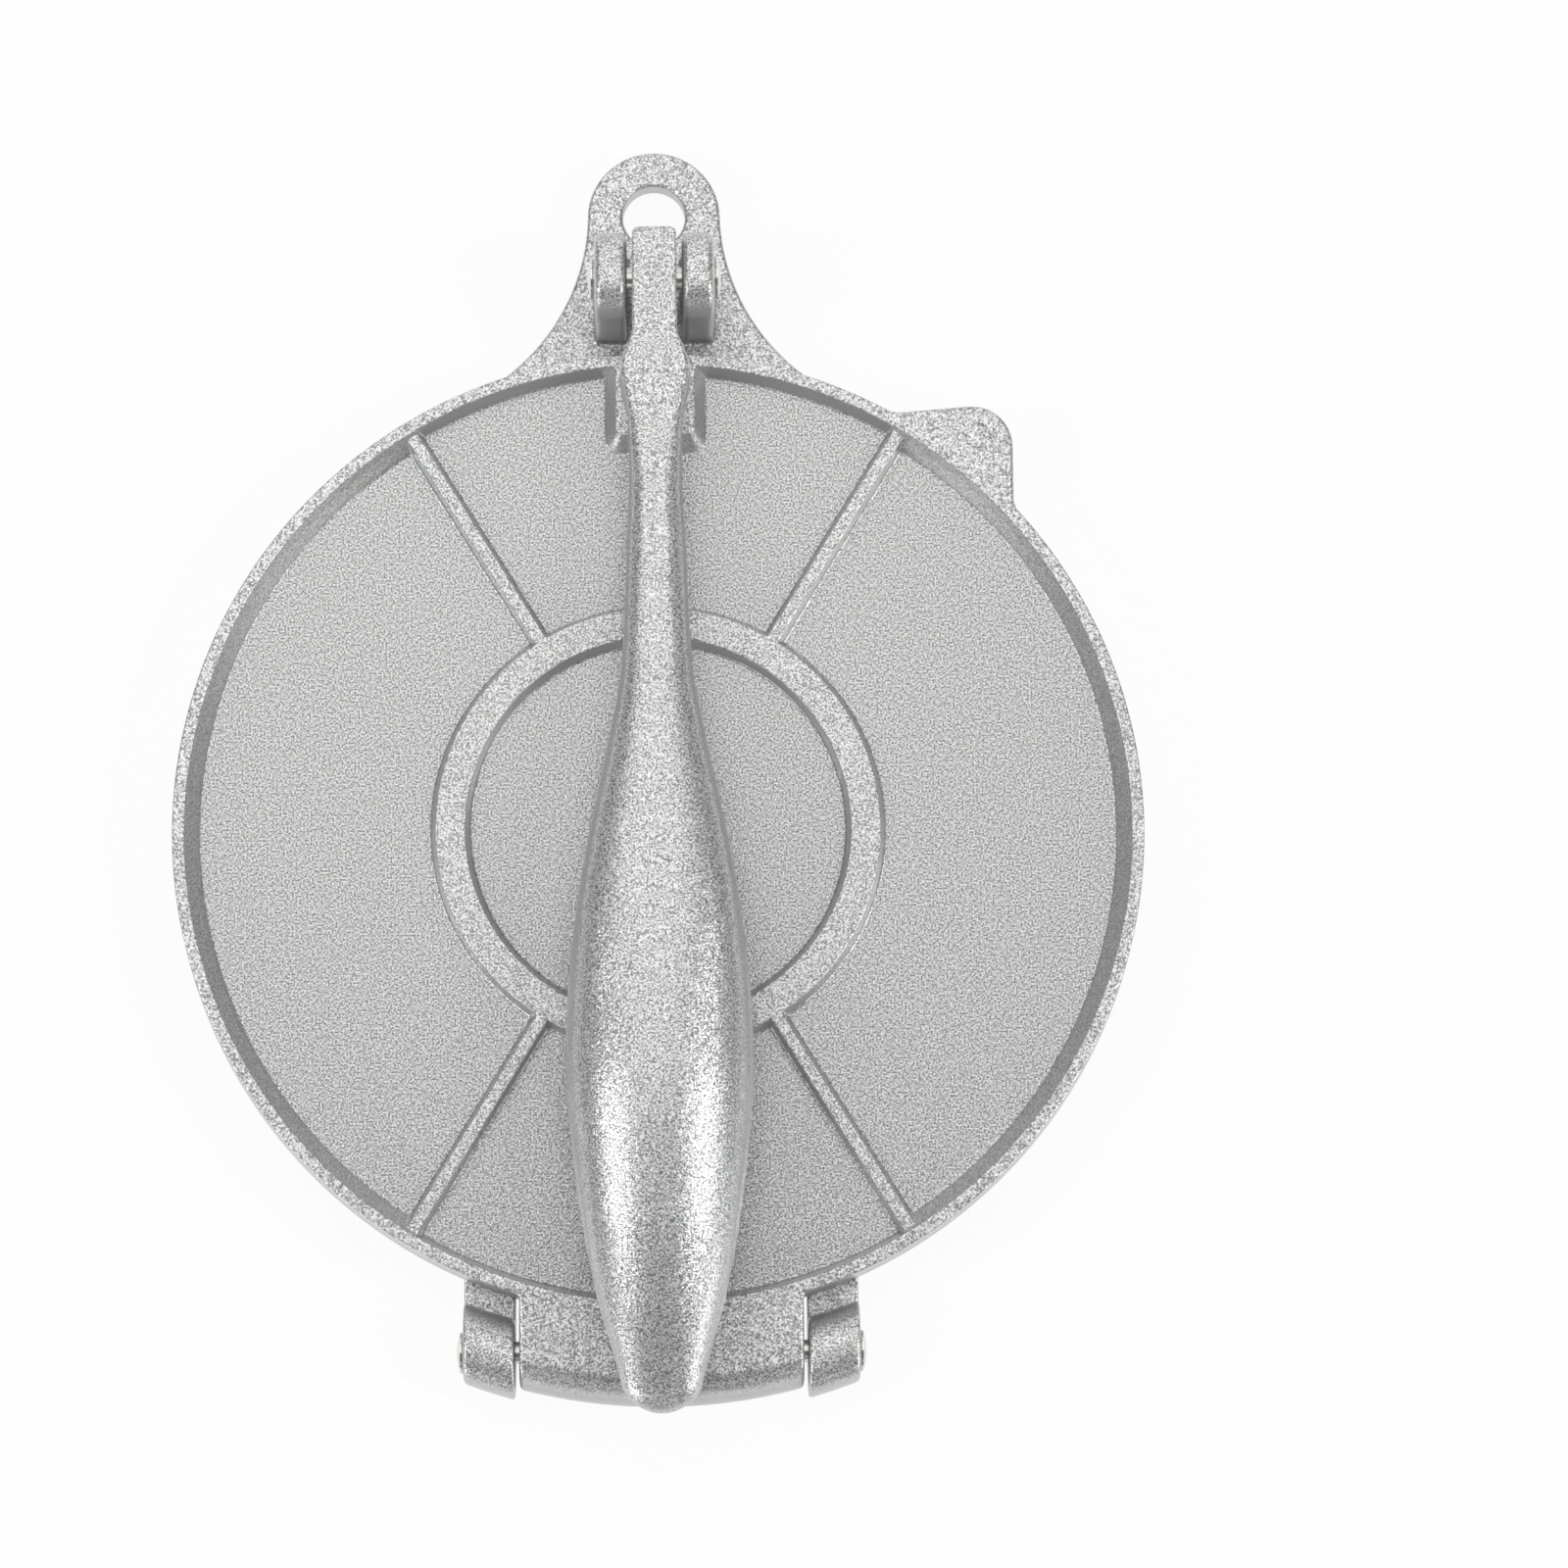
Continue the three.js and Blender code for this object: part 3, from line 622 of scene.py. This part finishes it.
def ear_foot(side):
    """The rounded inner corner around an ear's foot."""
    fillet, inset, corner = 0.9, 0.05, 0.6
    x_low, x_high = sorted((side * EAR_IN, side * EAR_OUT))
    half = EAR_RADIUS - inset
    rows = np.vstack([
        arc(x, PIVOT_Y + y, corner, start, start + math.pi / 2, 4)
        for x, y, start in (
            (x_high - inset - corner, half - corner, 0),
            (x_low + inset + corner, half - corner, math.pi / 2),
            (x_low + inset + corner, corner - half, math.pi),
            (x_high - inset - corner, corner - half, 1.5 * math.pi),
        )
    ])
    skin = Skin()
    rings = [skin.ring(level(rows, fillet, BASE_TOP - 1))]
    for c, s in quarter(6):
        rings.append(skin.ring(level(rows, fillet * s, BASE_TOP + fillet * c)))
    rings.append(skin.ring(level(rows, -0.5, BASE_TOP + fillet + 0.5)))
    skin.close(rings)
    return skin


def tab_rib(side):
    """A rib under the tab, below an ear."""
    middle = side * (EAR_IN + EAR_OUT) / 2
    half, tall, tip, sunk = 2, 5, 1.7, 3
    under = BASE_TOP - TAB_THICK
    inner, outer, end = PLATE - RIM_WIDTH, PLATE, PIVOT_Y + EAR_RADIUS
    rows = np.array([
        [inner, under - tall, 0, -1], [outer, under - tall, 0, -1], [end, under - tip, 1, -1],
        [end, under + sunk, 1, 0], [inner, under + sunk, 0, 0],
    ])
    return sideways_prism(rows, middle - half, middle + half, 0.4)


def tab_rows():
    """The hanging tab's outline in plan, with hollow curves to the plate."""
    radius, flare = 14.9, 48.0
    plate_reach, tab_reach = PLATE + flare, radius + flare
    y = (plate_reach ** 2 - tab_reach ** 2 + TAB_Y ** 2) / (2 * TAB_Y)
    x = math.sqrt(plate_reach ** 2 - y * y)
    from_plate, from_tab = math.atan2(y, x), math.atan2(y - TAB_Y, x)
    back = arc(0, 0, PLATE - 3, math.pi - from_plate, from_plate, 40)
    back[:, 2:] = 0
    return np.vstack((
        arc(x, y, flare, from_plate - math.pi, from_tab - math.pi, 24, inward=True),
        arc(0, TAB_Y, radius, from_tab, math.pi - from_tab, 48)[1:-1],
        arc(-x, y, flare, -from_tab, -from_plate, 24, inward=True),
        back,
    ))


def arm_skins(side):
    """A low neck and a barrel whose end follows the plate's curve."""
    x_low, x_high = sorted((side * ARM_IN, side * ARM_OUT))
    reach, radius = 128.5, 8.75
    skin = Skin()
    rings = []
    for x, by in rounded_stations(x_low, x_high, 9):
        y = -math.sqrt((reach - radius) ** 2 - x * x)
        front = full_arc(y, HINGE_Z, radius - by, math.pi / 2, math.pi, 24, 0.3)[:-1]
        rest = arc(y, HINGE_Z, radius - by, math.pi, 2.5 * math.pi, 48)[:-1]
        rings.append(skin.ring(upright(x, np.vstack((front, rest)))))
    skin.close(rings)
    inner_end, outer_end = HINGE_Y + 13, HINGE_Y + 17
    low_end, high_end = (inner_end, outer_end) if side > 0 else (outer_end, inner_end)
    front = HINGE_Y - 2.5
    neck = np.array([
        [x_low, front, -1, -1], [x_high, front, 1, -1],
        [x_high, high_end, 1, 0], [x_low, low_end, -1, 0],
    ], float)
    return [skin, rounded_prism(neck, BASE_TOP - 8, BASE_TOP - LIFT, 0.5)]


# Lever
def smooth_curve(table):
    """A curve through the table's points that doesn't overshoot them."""
    xs = np.array([row[0] for row in table], float)
    ys = np.array([row[1] for row in table], float)
    steps = np.diff(ys) / np.diff(xs)
    slopes = np.concatenate(([steps[0]], np.zeros(len(xs) - 2), [steps[-1]]))
    for i in range(1, len(xs) - 1):
        before, after = steps[i - 1], steps[i]
        slopes[i] = 2 * before * after / (before + after) if before * after > 0 else 0

    def at(x):
        i = int(np.clip(np.searchsorted(xs, x, side="right") - 1, 0, len(xs) - 2))
        width = xs[i + 1] - xs[i]
        t = (x - xs[i]) / width
        return (ys[i] * (1 + 2 * t) * (1 - t) ** 2 + slopes[i] * width * t * (1 - t) ** 2
                + ys[i + 1] * t * t * (3 - 2 * t) + slopes[i + 1] * width * t * t * (t - 1))

    return at


# The lever's shape from its pivot to its tip. In each row the first number is the share of
# the length and the second the share of the half width or the rise.
LEVER_LENGTH = 248.8
GRIP_HALF = 20.2
GRIP_RISE = 20.4
LEVER_LIP = 1.3              # rounding of its lower edges
PLAN = smooth_curve([
    (0, 0.24), (0.056, 0.242), (0.068, 0.29), (0.082, 0.36), (0.091, 0.38), (0.108, 0.345),
    (0.134, 0.292), (0.18, 0.285), (0.25, 0.32), (0.35, 0.375), (0.417, 0.52), (0.516, 0.772),
    (0.58, 0.896), (0.645, 0.973), (0.706, 1), (0.78, 0.925), (0.848, 0.812), (0.905, 0.668),
    (0.955, 0.49), (1, 0.35),
])
TOP = smooth_curve([
    (0, 0.554), (0.05, 0.53), (0.1, 0.51), (0.18, 0.53), (0.32, 0.65), (0.48, 0.83),
    (0.643, 0.975), (0.715, 1), (0.824, 0.91), (0.904, 0.765), (0.965, 0.58), (1, 0.44),
])
BOTTOM = smooth_curve([
    (0, -0.2), (0.08, -0.15), (0.145, 0.02), (0.18, 0.08), (0.4, 0.22), (0.6, 0.32),
    (0.8, 0.32), (1, 0.24),
])
CORNER_X = smooth_curve([
    (0, 0.1), (0.06, 0.12), (0.12, 0.3), (0.2, 0.7), (0.3, 0.75), (0.4, 1), (1, 1),
])
CORNER_Z = smooth_curve([
    (0, 0.03), (0.06, 0.04), (0.12, 0.14), (0.2, 0.5), (0.3, 0.6), (0.4, 0.9), (0.7, 1), (1, 1),
])
SQUARE = smooth_curve([(0, 0), (0.25, 0), (0.36, 0.3), (0.54, 0.25), (0.68, 0), (1, 0)])
MOST_CORNER = 0.9999         # leaves a narrow flat on top, so that each ring has all its points


def lever_ring(y, half, low, high, lip, corner_x, corner_z, square=0.0):
    """A ring across the lever: flat underneath, rounded lower edges, a crowned top."""
    tall = high - low - lip
    rx, rz = half * min(corner_x, MOST_CORNER), tall * corner_z
    t = np.linspace(0, math.pi / 2, 19)
    power = 1 - square
    across, up = np.abs(np.cos(t)) ** power, np.abs(np.sin(t)) ** power
    right = np.column_stack((half - rx + rx * across, high - rz + rz * up))
    t = np.linspace(0, math.pi / 2, 4)
    under = np.column_stack((half - lip + lip * np.sin(t), low + lip - lip * np.cos(t)))
    side = np.vstack((under, right))
    whole = np.vstack((side, side[::-1] * np.array([-1, 1])))
    return np.column_stack((whole[:, 0], np.full(len(whole), y), whole[:, 1]))


def lever_skin():
    skin = Skin()
    heel, neck_top, eye = 9.0, 11.3, 9.0
    heel_round, heel_edge = 1.6, 0.8
    foot_y, foot_radius, foot_gap = 21.0, 7.4, 0.3
    foot_z = UPPER_TOP + foot_gap + foot_radius - PIVOT_Z

    def low_at(y):
        share = max(0.0, -y / LEVER_LENGTH)
        low = GRIP_RISE * BOTTOM(share)
        if abs(y) < eye:
            low = min(low, -math.sqrt(eye * eye - y * y))
        away = y + foot_y
        if abs(away) < foot_radius:
            low = min(low, foot_z - math.sqrt(foot_radius ** 2 - away ** 2))
        return low

    def high_at(y):
        if y > 0:
            return neck_top
        return GRIP_RISE * TOP(-y / LEVER_LENGTH)

    stations = []
    tip_start = 1 - 6 / LEVER_LENGTH
    ys = [heel - heel_round * (1 - math.sin(t)) for t in np.linspace(math.pi / 2, 0, 7)]
    ys += list(np.linspace(heel - heel_round, -tip_start * LEVER_LENGTH, 190)[1:])
    for y in ys:
        share = max(0.0, -y / LEVER_LENGTH)
        half, high = GRIP_HALF * PLAN(share), high_at(y)
        low = sum(low_at(y + d) for d in np.linspace(-1.2, 1.2, 7)) / 7
        if y > 0:
            low = -math.sqrt(max(0.0, eye * eye - y * y)) if y < eye else 0.0
        if y > heel - heel_round:
            past = (y - heel + heel_round) / heel_round
            drop = 1 - math.sqrt(max(0, 1 - past * past))
            half -= heel_round * drop
            high -= heel_edge * drop
        corners = (CORNER_X(share), CORNER_Z(share), SQUARE(share))
        stations.append((y, half, low, high, LEVER_LIP, *corners))
    for k in range(1, 13):
        share = tip_start + (1 - tip_start) * math.sin(0.97 * math.pi / 2 * k / 12)
        past = (share - tip_start) / (1 - tip_start)
        fade = math.sqrt(1 - past * past)
        top, bottom = GRIP_RISE * TOP(share), GRIP_RISE * BOTTOM(share)
        middle = bottom + (top - bottom) / 3
        stations.append((
            -share * LEVER_LENGTH, GRIP_HALF * PLAN(share) * fade,
            middle + (bottom - middle) * fade, middle + (top - middle) * fade,
            LEVER_LIP * fade, 1, 1, 0,
        ))
    rings = []
    for y, half, low, high, *rest in stations:
        rings.append(skin.ring(lever_ring(PIVOT_Y + y, half, PIVOT_Z + low, PIVOT_Z + high, *rest)))
    skin.close(rings)
    return skin


def hollow_skin():
    """The hollow under the grip."""
    skin = Skin()
    rings = []
    start, end, wall, lip = 0.37, 0.95, 3.6, 1.0
    for i in range(41):
        share = start + (end - start) * i / 40
        swell = 1 - abs(i / 20 - 1) ** 3
        low = GRIP_RISE * BOTTOM(share) - PAST
        roof = max(0.0, (GRIP_RISE * (TOP(share) - BOTTOM(share)) - wall) * swell)
        ring = lever_ring(
            PIVOT_Y - share * LEVER_LENGTH, GRIP_HALF * PLAN(share) - wall,
            PIVOT_Z + low, PIVOT_Z + low + PAST + roof, lip, CORNER_X(share), CORNER_Z(share),
        )
        rings.append(skin.ring(ring))
    skin.close(rings)
    return skin


# Pieces
def new_object(name, mesh):
    piece = bpy.data.objects.new(name, mesh)
    bpy.context.scene.collection.objects.link(piece)
    return piece


def combined(name, first, added=(), cut=()):
    """First with the added skins joined to it and the cut ones taken away."""
    piece = new_object(name, first.mesh(name))
    tools = []
    for kind, skins in (("UNION", added), ("DIFFERENCE", cut)):
        for skin in skins:
            tool = new_object("tool", skin.mesh("tool"))
            tools.append(tool)
            modifier = piece.modifiers.new("cut", "BOOLEAN")
            modifier.operation = kind
            modifier.solver = "EXACT"
            modifier.object = tool
    graph = bpy.context.evaluated_depsgraph_get()
    mesh = bpy.data.meshes.new_from_object(piece.evaluated_get(graph))
    piece.modifiers.clear()
    piece.data = mesh
    mesh.name = name
    for tool in tools:
        bpy.data.objects.remove(tool)
    work = bmesh.new()
    work.from_mesh(mesh)
    bmesh.ops.remove_doubles(work, verts=work.verts, dist=MERGE)
    bmesh.ops.dissolve_degenerate(work, edges=work.edges, dist=MERGE)
    open_edges = sum(1 for e in work.edges if not e.is_manifold)
    print("PIECE", name, len(work.faces), "faces", open_edges, "open edges")
    work.to_mesh(mesh)
    work.free()
    return piece


def finished(piece, body, node, material):
    """Gives the piece its coat and smooth faces, and puts it in its node's place."""
    mesh = piece.data
    mesh.materials.clear()
    mesh.materials.append(material)
    for polygon in mesh.polygons:
        polygon.use_smooth = True
    mesh.set_sharp_from_angle(angle=SHARP)
    weighted = piece.modifiers.new("normals", "WEIGHTED_NORMAL")
    weighted.keep_sharp = True
    weighted.weight = 50
    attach(piece, body)
    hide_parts(node)


def cross_hole(half, y, z):
    """The bore for a rod, through everything within half of the middle."""
    return bar_skin(HOLE, -half - PAST, half + PAST, y, z)


def add_upper_plate():
    pad = (17.8 / 2, PLATE - 19.4, 2.2, 2.6, 2.0)
    disc = plate(UPPER_TOP - UPPER_FACE, UPPER_WEB, UPPER_FACE, 1, RING_STEP, pad)
    lug = rounded_prism(lug_rows(), UPPER_TOP - LUG_THICK, UPPER_TOP + LIFT, EDGE)
    hole = cross_hole(BLOCK_HALF, HINGE_Y, HINGE_Z)
    marks = [line_mark(azimuth) for azimuth in (20.5, 148.8, 151.2, 210.8, 213.2, 343)]
    marks.append(ring_mark(71.6, 86.9, UPPER_TOP + 0.08, 2.7, 0.22))
    joined = [lug, block_skin(), block_foot(1), block_foot(-1)]
    piece = combined("upper_plate", disc, joined, [hole, *marks])
    finished(piece, "upper", "top_plate", PLATE_COAT)


def add_lower_plate():
    disc = plate(BASE_TOP, BASE_WEB, BASE_TOP, -1)
    eye = circle(0, TAB_Y, EYE, 64, inward=True)
    tab = rounded_prism(tab_rows(), BASE_TOP - TAB_THICK, BASE_TOP - LIFT, EDGE, [eye])
    ears = [
        sideways_prism(ear_rows(), EAR_IN, EAR_OUT, EAR_EDGE),
        sideways_prism(ear_rows(), -EAR_OUT, -EAR_IN, EAR_EDGE),
        ear_foot(1),
        ear_foot(-1),
        tab_rib(1),
        tab_rib(-1),
    ]
    arms = arm_skins(1) + arm_skins(-1)
    holes = [cross_hole(ARM_OUT, HINGE_Y, HINGE_Z), cross_hole(EAR_OUT, PIVOT_Y, PIVOT_Z)]
    piece = combined("lower_plate", disc, [tab, *ears, *arms], holes)
    finished(piece, "lower", "base_plate", COAT)


def add_lever():
    hole = cross_hole(6, PIVOT_Y, PIVOT_Z)
    piece = combined("lever_casting", lever_skin(), [], [hollow_skin(), hole])
    finished(piece, "lever", "lever", COAT)


def screw_skins(y, z, side, start):
    """A low domed head with its shank, and its six-sided socket."""
    radius, edge, dome, shank, length = 4.5, 0.5, 1.3, 1.5, 8.0
    flats, deep, under_edge = 2.5, 0.7, 0.15
    base = start + ROD_PROUD
    bend = (radius ** 2 + (dome - edge) ** 2) / (2 * (dome - edge))
    profile = [
        (base - length, shank), (base, shank),
        (base, radius - under_edge), (base + under_edge, radius),
    ]
    for t in np.linspace(0, 1, 9)[:-1]:
        r = radius * (1 - t)
        profile.append((base + dome - bend + math.sqrt(bend ** 2 - r * r), r))
    head = Skin()
    head.close([head.ring(upright(side * x, circle(y, z, r, 48))) for x, r in profile])
    socket = Skin()
    six = circle(y, z, flats / math.sqrt(3), 6)
    socket.close([socket.ring(upright(side * (base + dome + x), six)) for x in (-deep, 1)])
    return head, socket


def add_pins():
    for joint, y, z, half in (
        ("hinge", HINGE_Y, HINGE_Z, ARM_OUT), ("lever", PIVOT_Y, PIVOT_Z, EAR_OUT),
    ):
        bores = [
            bar_skin(SCREW_BORE, side * (half - BORE_DEPTH), side * (half + PAST), y, z)
            for side in (-1, 1)
        ]
        rod = bar_skin(ROD, -half - ROD_PROUD, half + ROD_PROUD, y, z, 64)
        rod = combined(joint + "_bar", rod, [], bores)
        finished(rod, "lower", joint + "_rod", STEEL)
        for side, name in ((-1, "left"), (1, "right")):
            head, socket = screw_skins(y, z, side, half)
            screw = combined(joint + "_cap_" + name, head, [], [socket])
            finished(screw, "lower", joint + "_screw_" + name, STEEL)


add_upper_plate()
add_lower_plate()
add_lever()
add_pins()
for name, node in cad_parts.items():
    node.data.materials.clear()
    node.data.materials.append(STEEL if "rod" in name or "screw" in name else COAT)


# Floor and light
def add_floor():
    """A floor that looks white to the camera, and takes the press's shadow."""
    mesh = bpy.data.meshes.new("floor")
    half, white, glow_share = 3.0, 0.9, 0.93
    corners = [(-half, -half, 0), (half, -half, 0), (half, half, 0), (-half, half, 0)]
    mesh.from_pydata(corners, [], [(0, 1, 2, 3)])
    floor = bpy.data.objects.new("floor", mesh)
    floor.location.z = -0.0002
    bpy.context.scene.collection.objects.link(floor)
    material, nodes, links, mix = new_material("floor", "ShaderNodeMixShader")
    path = nodes.new("ShaderNodeLightPath")
    seen = path.outputs["Is Camera Ray"]
    for kind in ("Is Glossy Ray", "Is Transmission Ray"):
        seen = computed(nodes, links, "ShaderNodeMath", "MAXIMUM", seen, path.outputs[kind])
    diffuse = nodes.new("ShaderNodeBsdfDiffuse")
    diffuse.inputs["Color"].default_value = (white, white, white, 1)
    glow = nodes.new("ShaderNodeEmission")
    glow.inputs["Strength"].default_value = 1.0
    share = computed(nodes, links, "ShaderNodeMath", "MULTIPLY", seen, glow_share)
    links.new(share, mix.inputs[0])
    links.new(diffuse.outputs[0], mix.inputs[1])
    links.new(glow.outputs[0], mix.inputs[2])
    mesh.materials.append(material)


def around(azimuth, elevation, distance):
    turn, rise = math.radians(azimuth), math.radians(elevation)
    along = math.cos(rise)
    return distance * Vector((math.cos(turn) * along, math.sin(turn) * along, math.sin(rise)))


# Lamps: name, place, width, height, watts. All point at the origin.
LAMPS = (
    ("left", around(194, 48, 1.3), 0.18, 0.46, 3.3),
    ("right", around(348, 50, 1.3), 0.18, 0.44, 3.7),
    ("left_low", around(224, 15, 1.3), 0.6, 0.4, 3.4),
    ("right_low", around(329, 17, 1.3), 0.7, 0.5, 3.2),
    ("back", around(90, 20, 1.6), 2.4, 0.9, 6.5),
    ("front", around(270, 28, 1.5), 1.6, 0.5, 1.0),
    ("overhead", Vector((-0.1, 0.5, 1.3)), 1.25, 1.4, 6.6),
)


def add_light():
    world = bpy.data.worlds.new("world")
    bpy.context.scene.world = world
    world.use_nodes = True
    background = world.node_tree.nodes["Background"]
    background.inputs["Color"].default_value = (1, 1, 1, 1)
    background.inputs["Strength"].default_value = 0.18
    for name, place, width, height, watts in LAMPS:
        data = bpy.data.lights.new(name, "AREA")
        data.shape = "RECTANGLE"
        data.size = width
        data.size_y = height
        data.energy = watts
        lamp = bpy.data.objects.new(name, data)
        lamp.location = place
        lamp.rotation_euler = (-place).to_track_quat("-Z", "Y").to_euler()
        bpy.context.scene.collection.objects.link(lamp)


add_floor()
add_light()

bpy.context.scene.view_settings.view_transform = "Standard"
